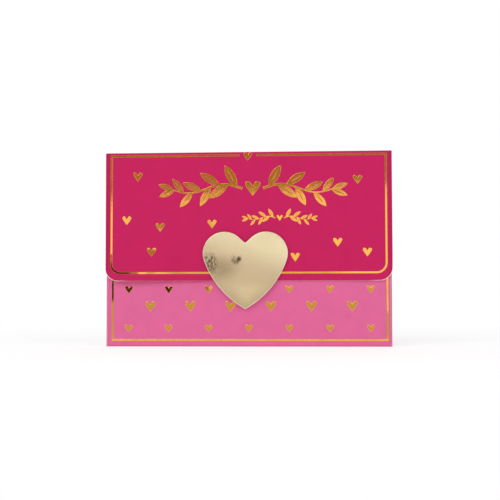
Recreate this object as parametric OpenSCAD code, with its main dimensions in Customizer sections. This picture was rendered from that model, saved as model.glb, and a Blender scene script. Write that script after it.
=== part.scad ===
// Money gift pouch folded from one sheet of printed board. It stands on its
// bottom wall: X is the width, Z is up, and the front faces -Y. The origin is
// the middle of the bottom wall's underside. The sheet runs up the back, over
// the top and down the front as a flap, with a crease at each edge of the top.
// A heart badge on foam pads closes the flap with a hook-and-loop dot.

/* [Pouch] */
// Width of the pocket, from side wall to side wall
pouch_w = 170; // [150:1:220]
// Height from the table to the top of the pouch
pouch_h = 116; // [108:1:150]
// Depth from the face of the pocket to the rear face of the back panel
pouch_d = 6; // [5.6:0.1:12]
// How far the back panel, the top and the flap stand out past each side wall
over_w = 0.5; // [0.2:0.1:2]

/* [Board] */
// Thickness of the printed board
board_t = 0.5; // [0.3:0.05:0.6]
// Inner radius of a folded bend
bend_r = 0.3; // [0.2:0.05:0.5]
// Air between a crease's round edge and the board beside it
crease_gap = 0.05; // [0.03:0.01:0.1]

/* [Pocket] */
// Height of the pocket's front, from the table to its mouth
pocket_h = 92; // [84:1:100]
// Width of the thumb cut in the mouth
thumb_w = 34; // [20:1:50]
// Depth of the thumb cut
thumb_d = 7; // [4:0.5:9]
// Width of a glue tab
tab_w = 12; // [8:0.5:18]
// How much a glue tab narrows at each end
tab_taper = 4; // [1:0.5:8]
// Width of the line of glue on a tab
glue_w = 6; // [3:0.5:7]
// Thickness of the glue
glue_t = 0.1; // [0.05:0.01:0.2]

/* [Flap] */
// Length of the flap, from the top of the pouch to its lower edge
flap_l = 77; // [72:1:84]
// Radius of the flap's lower corners
flap_r = 7.5; // [4:0.5:12]
// Air between the closed flap and the pocket
flap_gap = 0.3; // [0.2:0.05:1]

/* [Badge] */
// Width of the heart badge
badge_w = 50.5; // [46:0.5:54]
// Height of the heart badge
badge_h = 45.8; // [42:0.1:48]
// Sideways place of the badge, from the middle of the pouch
badge_x = -1.5; // [-10:0.5:10]
// How far the badge's tip hangs below the flap's lower edge
badge_drop = 16.7; // [15.5:0.1:17]
// Thickness of the badge's board
badge_t = 0.8; // [0.5:0.1:1.5]
// Thickness of the mirror film on the badge
film_t = 0.15; // [0.1:0.05:0.3]
// Bare rim of board left round the mirror film
rim_w = 0.35; // [0.1:0.05:1]
// Radius at the bottom of the badge's notch
notch_r = 0.9; // [0.6:0.1:1.5]
// Thickness of the foam pads under the badge
pad_t = 1; // [0.8:0.1:2]
// Width of a foam pad
pad_w = 13; // [8:1:15]
// Height of a foam pad
pad_h = 6; // [4:0.5:7]

/* [Closure] */
// Diameter of the hook dot and the loop dot
dot_d = 10; // [6:0.5:11]
// Air between the faces of the closed dots
dot_gap = 0.1; // [0.05:0.05:0.2]
// Distance from the flap's lower edge down to the dots
dot_drop = 2.4; // [1.5:0.1:3]

/* [Foil] */
// Thickness of the stamped foil
foil_t = 0.1; // [0.05:0.01:0.12]
// Width of the foil border line
line_w = 1.15; // [0.6:0.05:2]
// Inset of the flap's border line from its sides
line_side = 3; // [1.5:0.1:5]
// Inset of the pocket's border line from its sides
pocket_line_side = 2.7; // [1.5:0.1:5]
// Sideways place of the middle of the pocket's border line
pocket_line_x = 0.6; // [-1:0.1:1]
// Inset of the flap's line from the top
line_top = 1.4; // [1:0.1:4]
// Inset of the flap's line from its lower edge
line_low = 4.2; // [2:0.1:6]
// Inset of the pocket's line from its lower edge
line_foot = 3.4; // [1.5:0.1:5]
// Gap in the flap's top line round the top heart
line_break = 10; // [8:0.5:20]

/* [Hearts] */
// Width of a heart on the flap
flap_heart_w = 5.4; // [4:0.1:7]
// Width of a small heart on the pocket
small_heart_w = 4.7; // [3:0.1:6]
// Width of a large heart on the pocket
large_heart_w = 6.3; // [4:0.1:8]
// Distance from one pocket heart to the next in a row
heart_pitch = 24; // [18:1:40]
// Sideways place of the middle of the rows of small hearts
small_row_x = 0.5; // [-4:0.1:4]
// Sideways place of the middle of the rows of large hearts
large_row_x = 1.6; // [-4:0.1:4]

/* [Garland] */
// Length of the main garland's stem, end to end
garland_l = 98; // [70:1:104]
// Length of a leaf on the main garland
leaf_l = 15; // [8:0.5:16]
// Width of a leaf on the main garland
leaf_w = 5.2; // [3:0.1:6]
// Width of the main garland's stem
stem_w = 1.5; // [0.8:0.1:2]
// Width of the main garland's middle heart
garland_heart_w = 9; // [5:0.5:11]
// Width of the slit that marks a leaf's vein
vein_w = 0.5; // [0.3:0.1:0.8]
// Size of the small garland, as a share of the main one
small_garland_share = 0.4; // [0.3:0.05:0.5]

/* [Hidden] */
$fn = 64;

// Bends and creases
bend_out = bend_r + board_t;
crease_r = board_t / 2;
half_w = pouch_w / 2;
panel_w = pouch_w + 2 * over_w;
front_w = pouch_w - 2 * bend_out;

// Depths, from the front to the back
front_y = -pouch_d / 2;
back_y = pouch_d / 2;
flap_rear_y = front_y - flap_gap;
flap_face_y = flap_rear_y - board_t;
pad_face_y = flap_face_y - pad_t;
badge_face_y = pad_face_y - badge_t;
tab_back_y = back_y - board_t - glue_t;
rear_crease_y = back_y - crease_r;
front_crease_y = flap_face_y + crease_r;
crease_z = pouch_h - crease_r;
flap_low_z = pouch_h - flap_l;
dot_t = (flap_gap + board_t + pad_t - dot_gap) / 2;
dot_z = flap_low_z - dot_drop - dot_d / 2;
badge_z = flap_low_z - badge_drop;

// Form of a heart: radius of a lobe as a share of the width, and how far round it the
// lobe starts below its side and ends at the straight slope down to the notch
badge_lobe_share = 0.2545;
badge_lean = 20;
badge_slope = 132;
foil_lobe_share = 0.19;
foil_lean = 30;
foil_slope = 148;
// Notch radius of a foil heart, as a share of its width
foil_notch_share = 0.03;
// Height of a foil heart, as a share of its width
foil_heart_share = 0.96;

// Hearts on the flap: place across half the flap, place down its length
flap_heart_shares = [
    [-0.773, 0.188], [-0.850, 0.530], [-0.614, 0.584], [-0.674, 0.776], [-0.250, 0.561],
    [0.763, 0.222], [0.623, 0.706], [0.827, 0.783], [0.329, 0.819]
];
// Width of the top heart as a share of the others', and drop of its middle as a share
// of its own width
top_heart_w_share = 0.93;
top_heart_share = 0.5;
// Rows of hearts, as shares of the pocket's height, small and large in turn
row_shares = [0.117, 0.259, 0.368, 0.495, 0.620, 0.745, 0.860];
// Middle of the main garland: across half the flap, down the flap
garland_share = [0.035, 0.285];
// Middle of the small garland: across half the flap, down the flap
small_garland_place_share = [0.222, 0.515];
// Gap between the middle heart's centre and each stem, as a share of its width
garland_gap_share = 0.7;
// Rise of a stem's wave and how much it thins to its end, as shares
stem_rise_share = 0.06;
stem_taper_share = 0.6;
// Where the end leaf grows from, as a share of the stem
end_leaf_share = 0.96;
// Steps along a stem
stem_steps = 24;
// Leaf pairs on each half of a garland
leaf_pairs = 4;
// Angle between a leaf and its stem
leaf_angle = 42;
// How much shorter the outermost leaves are, as a share
leaf_fade_share = 0.35;
// Where the pads sit: across half the badge, up the badge's height
pad_shares = [[-0.42, 0.72], [0.42, 0.72], [0, 0.57]];

// Plate with its outline drawn in X and Z, from its rear face forwards
module face_plate(rear_y, thickness) {
    translate([0, rear_y, 0])
        rotate([90, 0, 0])
            linear_extrude(height = thickness)
                children();
}

// Profile drawn in Y and Z, run along X
module run_along_x(length) {
    rotate([90, 0, 90])
        linear_extrude(height = length, center = true)
            children();
}

// Quarter bend of the board, in the corner of +X and +Y
module bend() {
    intersection() {
        difference() {
            circle(r = bend_out);
            circle(r = bend_r);
        }
        square(bend_out);
    }
}

// Rectangle whose two lower corners are round, its lower edge at zero
module tongue(w, h, r) {
    translate([-w / 2, r])
        square([w, h - r]);
    translate([-w / 2 + r, 0])
        square([w - 2 * r, h]);
    for (side = [-1, 1])
        translate([side * (w / 2 - r), r])
            circle(r = r);
}

// Points along an arc, both ends included
function arc(x, y, r, from, to, steps) = [
    for (i = [0 : steps])
        let (a = from + (to - from) * i / steps)
            [x + r * cos(a), y + r * sin(a)]
];

// Right half of a heart's outline, from its tip up over the lobe to its notch. The
// flank, the lobe and the notch are arcs that run smoothly together, the last two
// with a straight slope between them.
function half_heart(w, h, lobe_share, lean, slope, notch, inset, steps) =
    let (
        lobe = lobe_share * w,
        lobe_x = w / 2 - lobe,
        lobe_y = h - lobe,
        reach = (lobe_x * lobe_x + lobe_y * lobe_y - lobe * lobe)
            / (2 * (lobe + lobe_x * cos(lean) - lobe_y * sin(lean))),
        flank = lobe + reach - inset,
        flank_x = lobe_x - reach * cos(lean),
        flank_y = lobe_y + reach * sin(lean),
        notch_y = lobe_y + (lobe + notch + lobe_x * cos(slope)) / sin(slope)
    )
    concat(
        arc(flank_x, flank_y, flank, -acos(-flank_x / flank), -lean, steps),
        arc(lobe_x, lobe_y, lobe - inset, -lean, slope, 3 * steps),
        arc(0, notch_y, notch + inset, slope - 180, -90, ceil(steps / 3))
    );

// Heart from its right half
module heart(right) {
    left = [for (i = [len(right) - 1 : -1 : 0]) [-right[i][0], right[i][1]]];
    polygon(concat(right, left));
}

// Outline of the badge with its tip at zero, drawn smaller all round by inset
module badge_heart(inset) {
    heart(half_heart(badge_w, badge_h, badge_lobe_share, badge_lean, badge_slope, notch_r,
        inset, 12));
}

// Foil heart with its middle at zero
module foil_heart(w) {
    translate([0, -w * foil_heart_share / 2])
        heart(half_heart(w, w * foil_heart_share, foil_lobe_share, foil_lean, foil_slope,
            w * foil_notch_share, 0, 3));
}

// Pointed leaf from zero along X, slit along its vein
module leaf(l, w, slit) {
    difference() {
        lens(l, w);
        translate([l / 5, 0])
            lens(l * 3 / 5, slit);
    }
}

// Two equal arcs that meet in points, from zero along X
module lens(l, w) {
    r = (l * l + w * w) / (4 * w);
    intersection() {
        translate([l / 2, r - w / 2])
            circle(r = r);
        translate([l / 2, w / 2 - r])
            circle(r = r);
    }
}

// Place, side by side with its slope, on a stem that waves up and down once
function stem_place(l, rise, along) = [along * l, rise * sin(360 * along)];
function stem_slope(l, rise, along) = atan(rise * 2 * PI * cos(360 * along) / l);

// Waving stem from zero along X, thinner towards its far end
module stem(l, rise, w) {
    edge = function (side) [
        for (i = [0 : stem_steps])
            let (
                along = i / stem_steps,
                half = side * w * (1 - stem_taper_share * along) / 2,
                a = stem_slope(l, rise, along) + 90
            )
                stem_place(l, rise, along) + half * [cos(a), sin(a)]
    ];
    lower = edge(-1);
    upper = edge(1);
    polygon(concat(lower, [for (i = [stem_steps : -1 : 0]) upper[i]]));
}

// One half of a garland: a waving stem with leaves on both sides and at its end
module sprig(l, leaf_l, leaf_w, stem_w, slit) {
    rise = stem_rise_share * l;
    stem(l, rise, stem_w);
    for (i = [0 : leaf_pairs - 1], side = [-1, 1]) {
        along = (i + (side > 0 ? 0.3 : 0.8)) / leaf_pairs;
        size = 1 - leaf_fade_share * along;
        translate(stem_place(l, rise, along))
            rotate(stem_slope(l, rise, along) + side * leaf_angle)
                leaf(leaf_l * size, leaf_w * size, slit);
    }
    translate(stem_place(l, rise, end_leaf_share))
        rotate(stem_slope(l, rise, end_leaf_share))
            leaf(leaf_l * (1 - leaf_fade_share), leaf_w * (1 - leaf_fade_share), slit);
}

// Garland: two mirrored sprigs that grow away from a middle heart
module garland(k) {
    foil_heart(garland_heart_w * k);
    gap = garland_heart_w * garland_gap_share * k;
    for (side = [0, 1])
        mirror([side, 0])
            translate([gap, 0])
                sprig(garland_l / 2 * k - gap, leaf_l * k, leaf_w * k, stem_w * k, vein_w * k);
}

// Side wall seen from above, with its bends to the front and to the glue tab
module side_profile() {
    rear_bend_y = tab_back_y - bend_out;
    translate([half_w - board_t, front_y + bend_out])
        square([board_t, rear_bend_y - front_y - bend_out]);
    translate([half_w - bend_out, front_y + bend_out])
        mirror([0, 1])
            bend();
    translate([half_w - bend_out, rear_bend_y])
        bend();
}

module side_wall() {
    linear_extrude(height = pocket_h)
        side_profile();
}

// Bend at the foot of the back, on side 1, or of the front, on side -1
module foot_bend(side) {
    run_along_x(front_w)
        translate([side * (back_y - bend_out), bend_out])
            rotate(side > 0 ? -90 : 180)
                bend();
}

module glue_tab() {
    outer_x = half_w - bend_out;
    face_plate(tab_back_y, board_t)
        polygon([
            [outer_x, bend_out], [outer_x, pocket_h],
            [outer_x - tab_w, pocket_h - tab_taper], [outer_x - tab_w, bend_out + tab_taper]
        ]);
}

module back_panel() {
    color("#c92661") {
        face_plate(back_y, board_t)
            translate([-panel_w / 2, bend_out])
                square([panel_w, crease_z - crease_r - crease_gap - bend_out]);
        foot_bend(1);
    }
}

module bottom_wall() {
    color("#dc6a98")
        run_along_x(front_w)
            translate([front_y + bend_out, 0])
                square([pouch_d - 2 * bend_out, board_t]);
}

module pocket_front() {
    thumb_r = (thumb_w * thumb_w / 4 + thumb_d * thumb_d) / (2 * thumb_d);
    color("#dd6c98") {
        face_plate(front_y + board_t, board_t)
            difference() {
                translate([-front_w / 2, bend_out])
                    square([front_w, pocket_h - bend_out]);
                translate([0, pocket_h - thumb_d + thumb_r])
                    circle(r = thumb_r);
            }
        foot_bend(-1);
    }
}

module left_side_wall() {
    color("#dc6a98")
        mirror([1, 0, 0])
            side_wall();
}

module right_side_wall() {
    color("#dc6a98")
        side_wall();
}

module left_glue_tab() {
    color("white")
        mirror([1, 0, 0])
            glue_tab();
}

module right_glue_tab() {
    color("white")
        glue_tab();
}

module glue_lines() {
    color("ivory")
        for (side = [-1, 1])
            face_plate(tab_back_y + glue_t, glue_t)
                translate([side * (half_w - bend_out - tab_w / 2) - glue_w / 2, bend_out + tab_taper])
                    square([glue_w, pocket_h - bend_out - 2 * tab_taper]);
}

module pocket_foil_border() {
    w = pouch_w - 2 * pocket_line_side;
    left_x = pocket_line_x - w / 2;
    color("goldenrod")
        face_plate(front_y, foil_t)
            difference() {
                translate([left_x, line_foot])
                    square([w, pocket_h - line_foot]);
                translate([left_x + line_w, line_foot + line_w])
                    square([w - 2 * line_w, pocket_h]);
            }
}

// Rows of hearts, left out where the loop dot or the thumb cut lies
module pocket_foil_hearts() {
    side_room = half_w - abs(pocket_line_x) - pocket_line_side - line_w - large_heart_w / 2;
    thumb_z = pocket_h - thumb_d - large_heart_w / 2;
    color("goldenrod")
        face_plate(front_y, foil_t)
            for (row = [0 : len(row_shares) - 1]) {
                large = row % 2;
                z = row_shares[row] * pocket_h;
                w = large ? large_heart_w : small_heart_w;
                shift = large ? large_row_x - heart_pitch / 2 : small_row_x;
                count = ceil(half_w / heart_pitch);
                for (i = [-count : count]) {
                    x = i * heart_pitch + shift;
                    by_dot = norm([x - badge_x, z - dot_z]) < (dot_d + w) / 2;
                    by_thumb = z > thumb_z && abs(x) < (thumb_w + w) / 2;
                    if (abs(x) < side_room && !by_dot && !by_thumb)
                        translate([x, z])
                            foil_heart(w);
                }
            }
}

module loop_dot() {
    color("white")
        face_plate(front_y, dot_t)
            translate([badge_x, dot_z])
                circle(d = dot_d);
}

// Top of the pouch, whose rounded rear edge turns on the rear crease
module top_wall() {
    front_edge_y = front_crease_y + crease_r + crease_gap;
    color("#c6215a")
        run_along_x(panel_w) {
            translate([front_edge_y, pouch_h - board_t])
                square([rear_crease_y - front_edge_y, board_t]);
            translate([rear_crease_y, crease_z])
                circle(r = crease_r);
        }
}

// Flap, whose rounded top edge turns on the front crease
module flap_panel() {
    color("#cc2663") {
        face_plate(flap_rear_y, board_t)
            translate([0, flap_low_z])
                tongue(panel_w, flap_l - crease_r, flap_r);
        run_along_x(panel_w)
            translate([front_crease_y, crease_z])
                circle(r = crease_r);
    }
}

module flap_foil_border() {
    w = panel_w - 2 * line_side;
    h = flap_l - line_top - line_low;
    r = flap_r - line_w;
    color("goldenrod")
        face_plate(flap_face_y, foil_t)
            translate([0, flap_low_z + line_low])
                difference() {
                    tongue(w, h, r);
                    translate([0, line_w])
                        tongue(w - 2 * line_w, h - 2 * line_w, r - line_w);
                    translate([-line_break / 2, h - 2 * line_w])
                        square([line_break, 3 * line_w]);
                }
}

module flap_foil_hearts() {
    top_heart_w = flap_heart_w * top_heart_w_share;
    color("goldenrod")
        face_plate(flap_face_y, foil_t) {
            for (place = flap_heart_shares)
                translate([place[0] * panel_w / 2, pouch_h - place[1] * flap_l])
                    foil_heart(flap_heart_w);
            translate([0, crease_z - top_heart_share * top_heart_w])
                foil_heart(top_heart_w);
        }
}

module flap_foil_garland() {
    color("goldenrod")
        face_plate(flap_face_y, foil_t) {
            translate([garland_share[0] * panel_w / 2, pouch_h - garland_share[1] * flap_l])
                garland(1);
            translate([
                small_garland_place_share[0] * panel_w / 2,
                pouch_h - small_garland_place_share[1] * flap_l
            ])
                garland(small_garland_share);
        }
}

module badge_pads() {
    color("white")
        face_plate(flap_face_y, pad_t)
            for (place = pad_shares)
                translate([badge_x + place[0] * badge_w / 2, badge_z + place[1] * badge_h])
                    square([pad_w, pad_h], center = true);
}

module badge_board() {
    color("ivory")
        face_plate(pad_face_y, badge_t)
            translate([badge_x, badge_z])
                badge_heart(0);
}

module badge_mirror() {
    color("#dac79f")
        face_plate(badge_face_y, film_t)
            translate([badge_x, badge_z])
                badge_heart(rim_w);
}

module hook_dot() {
    color("white")
        face_plate(pad_face_y + dot_t, dot_t)
            translate([badge_x, dot_z])
                circle(d = dot_d);
}

back_panel();
bottom_wall();
pocket_front();
left_side_wall();
right_side_wall();
left_glue_tab();
right_glue_tab();
glue_lines();
pocket_foil_border();
pocket_foil_hearts();
loop_dot();
top_wall();
flap_panel();
flap_foil_border();
flap_foil_hearts();
flap_foil_garland();
badge_pads();
badge_board();
badge_mirror();
hook_dot();
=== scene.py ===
"""Looks of a money gift pouch of printed board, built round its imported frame.

The board is one folded sheet: back, top, flap, pocket and side walls. Foil lines,
hearts and a garland are stamped on it, and a heart badge of film on card closes the
flap with a hook-and-loop dot. Lengths in the code are millimetres unless they are
properties, lamps or the camera, which are in metres as the frame is.
"""

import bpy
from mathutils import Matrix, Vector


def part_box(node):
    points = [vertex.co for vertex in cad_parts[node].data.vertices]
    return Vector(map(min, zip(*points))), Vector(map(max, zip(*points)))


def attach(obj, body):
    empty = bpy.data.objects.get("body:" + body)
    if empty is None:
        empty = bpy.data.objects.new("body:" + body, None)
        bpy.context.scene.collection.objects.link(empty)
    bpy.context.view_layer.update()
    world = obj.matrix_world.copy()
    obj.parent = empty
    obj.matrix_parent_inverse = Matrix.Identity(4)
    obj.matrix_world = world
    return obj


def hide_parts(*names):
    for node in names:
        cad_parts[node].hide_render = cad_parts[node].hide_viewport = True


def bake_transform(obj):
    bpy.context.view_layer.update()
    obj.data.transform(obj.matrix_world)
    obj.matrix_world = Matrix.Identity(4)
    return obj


bl_info = {
    "name": "Money gift pouch",
    "version": (1, 0, 0),
    "blender": (4, 5, 0),
    "location": "3D View > Sidebar > Gift pouch",
    "description": "Builds the folded board, stamped foil and heart badge of a money gift pouch",
    "category": "Object",
}

import bisect
import math
import random

import bmesh
import bpy
import numpy as np
from bpy.props import FloatProperty, FloatVectorProperty, IntProperty, PointerProperty
from mathutils import Matrix, Vector
from mathutils.geometry import delaunay_2d_cdt

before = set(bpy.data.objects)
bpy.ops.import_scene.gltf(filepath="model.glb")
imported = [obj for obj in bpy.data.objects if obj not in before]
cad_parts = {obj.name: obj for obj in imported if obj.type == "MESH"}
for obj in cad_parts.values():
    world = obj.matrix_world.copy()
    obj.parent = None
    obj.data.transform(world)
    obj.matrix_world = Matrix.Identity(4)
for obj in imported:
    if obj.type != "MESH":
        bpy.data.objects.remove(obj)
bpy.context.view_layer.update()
MM = 0.001


def linear(hex_colour):
    """An sRGB hex colour as the linear red, green and blue that shaders use."""
    values = [int(hex_colour[i:i + 2], 16) / 255 for i in (1, 3, 5)]
    return [v / 12.92 if v <= 0.04045 else ((v + 0.055) / 1.055) ** 2.4 for v in values]


BOXES = {node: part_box(node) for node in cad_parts}


def low(node):
    """Lowest corner of a node of the frame, in millimetres."""
    return BOXES[node][0] / MM


def high(node):
    """Highest corner of a node of the frame, in millimetres."""
    return BOXES[node][1] / MM


def length(name, description, default):
    """A length property whose default is given in millimetres."""
    return FloatProperty(name=name, description=description, default=default * MM,
                         min=0, unit="LENGTH", subtype="DISTANCE", precision=5)


def colour(name, description, default):
    """A colour property whose default is an sRGB hex value."""
    return FloatVectorProperty(name=name, description=description, size=3, min=0, max=1,
                               default=linear(default), subtype="COLOR")


class PouchSizes(bpy.types.PropertyGroup):
    """Sizes of the board, the foil and the badge."""

    board_t: length("Board", "Thickness of the printed board", 0.5)
    bend_r: length("Bend", "Inner radius of a folded bend", 0.3)
    edge_round: length("Edge rounding", "Rounding that the die leaves on a cut edge", 0.05)
    grid: length("Grid", "Spacing of the points that let a panel bow", 3)
    left_curl: length("Left curl", "How far the flap's lower left corner lifts", 1.6)
    right_curl: length("Right curl", "How far the flap's lower right corner lifts", 0.5)
    curl_reach: length("Curl reach", "How far along the flap's edge a curl reaches", 40)
    curl_rise: length("Curl rise", "How far up the flap a curl reaches", 18)
    corner_wear: length("Corner wear", "Bare board that shows at the flap's worn corners", 0.3)
    pocket_bow: length("Pocket bow", "How far the pocket bows in behind the flap's left", 2.1)
    foil_t: length("Foil", "How far the stamped foil stands proud", 0.1)
    foil_round: length("Foil rounding", "Width of a stamped edge's soft slope", 0.12)
    line_w: length("Line width", "Width of the foil border lines", 1.15)
    heart_pitch: length("Heart pitch", "Distance between pocket hearts in a row", 24)
    card_round: length("Card edge", "Pale rounded edge of the badge's card", 0.22)


class PouchColours(bpy.types.PropertyGroup):
    """Colours of the printed board, the foil and the badge."""

    magenta: colour("Magenta", "Printed colour of the flap, top and back", "#C51D5B")
    pink: colour("Pink", "Printed colour of the pocket", "#DD6798")
    inside: colour("Inside", "Unprinted inner side of the board", "#F1EEEA")
    core: colour("Core", "Cut edge of the board", "#EFE3DE")
    gold: colour("Gold", "Stamped foil", "#FCBF58")
    film: colour("Film", "Mirror film of the badge", "#EED9B2")
    card: colour("Card", "Card under the badge's film", "#F3E6CC")
    white: colour("White", "Foam pads and hook-and-loop dots", "#F2F1EE")
    glue: colour("Glue", "Dried glue on the tabs", "#E9E2CF")


class PouchStage(bpy.types.PropertyGroup):
    """Studio light round the pouch."""

    sky: FloatProperty(name="Sky", description="Strength of the soft light all round",
                       default=0.55, min=0)
    key_power: FloatProperty(name="Key lamp", description="Power of the lamp at the upper left",
                             default=5.2, min=0, unit="POWER")
    fill_power: FloatProperty(name="Fill lamp", description="Power of the lamp at the right",
                              default=2.6, min=0, unit="POWER")


# Form of a heart: lobe radius as a share of its width, lean and slope in degrees
BADGE_FORM = (0.2545, 20, 132)
FOIL_FORM = (0.19, 30, 148)
# Height and notch radius of a stamped heart, as shares of its width
FOIL_TALL, FOIL_NOTCH = 0.96, 0.03
# Widths of the stamped hearts in millimetres
FLAP_HEART, SMALL_HEART, LARGE_HEART = 5.4, 4.7, 6.3

# Thumb cut in the pocket's mouth, and the flap from the top down, in millimetres
THUMB_W, THUMB_D = 34, 7
FLAP_L, FLAP_ROUND = 77, 7.5
# Crease: inner fillet, distance from its axis to the seam with the top board, length of
# fine rows beside it, and a reach from its axis for sharing the bend between two bodies,
# which nothing in the script reads
FILLET, SEAM, CREASE_RUN, CREASE_REACH = 0.1, 0.75, 1, 0.35
# Shallow waves of the flap's left half: middle, half width, half height and depth
FLAP_WAVES = ((-40, 66, 28, 8, 0.28), (-57, 50.5, 11, 8, 0.56))
# An edge that turns by more than this many degrees is shaded sharp
SHARP_ANGLE = 32


# Outlines -----------------------------------------------------------------------


def signed_area(loop):
    """Twice the area of a closed outline, positive when it runs anticlockwise."""
    return sum(p[0] * q[1] - q[0] * p[1] for p, q in zip(loop, loop[1:] + loop[:1]))


def wind(loop, hole=False):
    """The outline with what it bounds on its left."""
    return loop if (signed_area(loop) > 0) != hole else loop[::-1]


def inset(loop, distance):
    """The outline moved to its left, into the board, by a distance that may vary by point."""
    made = []
    for before, point, after in zip(loop[-1:] + loop[:-1], loop, loop[1:] + loop[:1]):
        ax, ay = point[0] - before[0], point[1] - before[1]
        bx, bz = after[0] - point[0], after[1] - point[1]
        a, b = math.hypot(ax, ay), math.hypot(bx, bz)
        nx, ny = -ay / a - bz / b, ax / a + bx / b
        by = distance(point) if callable(distance) else distance
        reach = by / max(0.5 * (nx * nx + ny * ny), 0.3)
        made.append((point[0] + nx * reach, point[1] + ny * reach))
    return made


def refine(loop, step, rows=()):
    """The outline with points added no further apart than step, and where it crosses rows."""
    made = []
    for p, q in zip(loop, loop[1:] + loop[:1]):
        shares = {0.0}
        shares.update((r - p[1]) / (q[1] - p[1]) for r in rows if (r - p[1]) * (r - q[1]) < 0)
        edges = sorted(shares) + [1.0]
        span = math.hypot(q[0] - p[0], q[1] - p[1])
        for a, b in zip(edges, edges[1:]):
            count = max(1, math.ceil((b - a) * span / step - 1e-6))
            for i in range(count):
                t = a + (b - a) * i / count
                made.append((p[0] + (q[0] - p[0]) * t, p[1] + (q[1] - p[1]) * t))
    return made


def arc(x, y, r, start, end, steps):
    """Points along an arc, both ends included, angles in degrees."""
    angles = [math.radians(start + (end - start) * i / steps) for i in range(steps + 1)]
    return [(x + r * math.cos(a), y + r * math.sin(a)) for a in angles]


def shift(loop, x, y, turn=0.0, flip=1):
    """The outline turned by an angle in degrees, mirrored if flip is -1, then moved."""
    c, s = math.cos(math.radians(turn)), math.sin(math.radians(turn))
    return [(x + flip * (p[0] * c - p[1] * s), y + p[0] * s + p[1] * c) for p in loop]


def heart(w, h, form, notch, steps):
    """Heart outline from its tip at zero, of tangent arcs. form is a lobe's radius as a
    share of the width, how far below its side the lobe meets the flank, and the angle
    round it where the straight slope down to the notch starts."""
    share, lean, slope = form
    lobe = share * w
    lobe_x, lobe_y = w / 2 - lobe, h - lobe
    c, s = math.cos(math.radians(lean)), math.sin(math.radians(lean))
    reach = (lobe_x ** 2 + lobe_y ** 2 - lobe ** 2) / (2 * (lobe + lobe_x * c - lobe_y * s))
    flank = lobe + reach
    flank_x, flank_y = lobe_x - reach * c, lobe_y + reach * s
    inward = math.radians(slope)
    notch_y = lobe_y + (lobe + notch + lobe_x * math.cos(inward)) / math.sin(inward)
    tip = -math.degrees(math.acos(-flank_x / flank))
    right = (arc(flank_x, flank_y, flank, tip, -lean, steps)
             + arc(lobe_x, lobe_y, lobe, -lean, slope, 3 * steps)[1:]
             + arc(0, notch_y, notch, slope - 180, -90, max(2, steps // 3)))
    return right + [(-x, y) for x, y in right[-2:0:-1]]


def foil_heart(w, x, z):
    """Stamped heart with its middle at a place on the panel."""
    return shift(heart(w, FOIL_TALL * w, FOIL_FORM, FOIL_NOTCH * w, 6),
                 x, z - FOIL_TALL / 2 * w)


def lens(l, w, steps=12):
    """Two equal arcs that meet in points, from zero along the first axis."""
    r = (l * l + w * w) / (4 * w)
    half = math.degrees(math.asin(l / 2 / r))
    under = arc(l / 2, r - w / 2, r, -90 - half, -90 + half, steps)
    over = arc(l / 2, w / 2 - r, r, 90 - half, 90 + half, steps)
    return under[:-1] + over[:-1]


def sprig(l, leaf_l, leaf_w, stem_w, slit):
    """Half a garland as (outline, slit) pairs: a waving stem, leaf pairs and an end leaf."""
    rise, steps, pairs, angle, fade = 0.06 * l, 24, 4, 42, 0.35
    stem_taper, vein_share, end_leaf, upper, lower = 0.6, 0.6, 0.96, 0.3, 0.8

    def place(along):
        return along * l, rise * math.sin(2 * math.pi * along)

    def slope(along):
        return math.degrees(math.atan(rise * 2 * math.pi * math.cos(2 * math.pi * along) / l))

    edges = [[], []]
    for i in range(steps + 1):
        along = i / steps
        a = math.radians(slope(along) + 90)
        x, y = place(along)
        half = stem_w * (1 - stem_taper * along) / 2
        edges[0].append((x - half * math.cos(a), y - half * math.sin(a)))
        edges[1].append((x + half * math.cos(a), y + half * math.sin(a)))
    made = [(edges[0] + edges[1][::-1], None)]
    spots = []
    for i in range(pairs):
        for side, start in ((-1, lower), (1, upper)):
            along = (i + start) / pairs
            spots.append((along, side * angle, 1 - fade * along))
    spots.append((end_leaf, 0, 1 - fade))
    for along, turn, size in spots:
        turned = slope(along) + turn
        x, y = place(along)
        outer = shift(lens(leaf_l * size, leaf_w * size), x, y, turned)
        vein = shift(lens(leaf_l * size * vein_share, slit, 6), leaf_l * size / 5, 0)
        made.append((outer, shift(vein, x, y, turned)))
    return made


def garland(k, x, z):
    """Two mirrored sprigs on a middle heart, as (outline, slit) pairs."""
    middle_w, half_l, leaf_l, leaf_w, stem_w, slit, gap_share = 9, 49, 15, 5.2, 1.5, 0.5, 0.7
    gap = middle_w * k * gap_share
    made = [(foil_heart(middle_w * k, x, z), None)]
    for flip in (1, -1):
        for outer, vein in sprig(half_l * k - gap, leaf_l * k, leaf_w * k, stem_w * k, slit * k):
            moved = [shift(shift(p, gap, 0), x, z, 0, flip) if p else None for p in (outer, vein)]
            made.append(tuple(moved))
    return made


def inside(points, loops):
    """For each point, whether an odd number of the outlines hold it."""
    points = np.asarray(points, float).reshape(-1, 2)
    odd = np.zeros(len(points), bool)
    for loop in loops:
        a = np.asarray(loop, float)
        b = np.roll(a, -1, axis=0)
        for (x0, y0), (x1, y1) in zip(a, b):
            if y0 == y1:
                continue
            crosses = (points[:, 1] < y0) != (points[:, 1] < y1)
            at = x0 + (points[:, 1] - y0) * (x1 - x0) / (y1 - y0)
            odd ^= crosses & (points[:, 0] < at)
    return odd


def triangles(loops, extra=()):
    """Points, triangles and the source of each point for what the outlines bound."""
    points = [Vector(p) for loop in loops for p in loop] + [Vector(p) for p in extra]
    edges, start = [], 0
    for loop in loops:
        edges += [(start + i, start + (i + 1) % len(loop)) for i in range(len(loop))]
        start += len(loop)
    found, _, faces, source, _, _ = delaunay_2d_cdt(points, edges, [], 0, 1e-5)
    return found, faces, source


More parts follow.
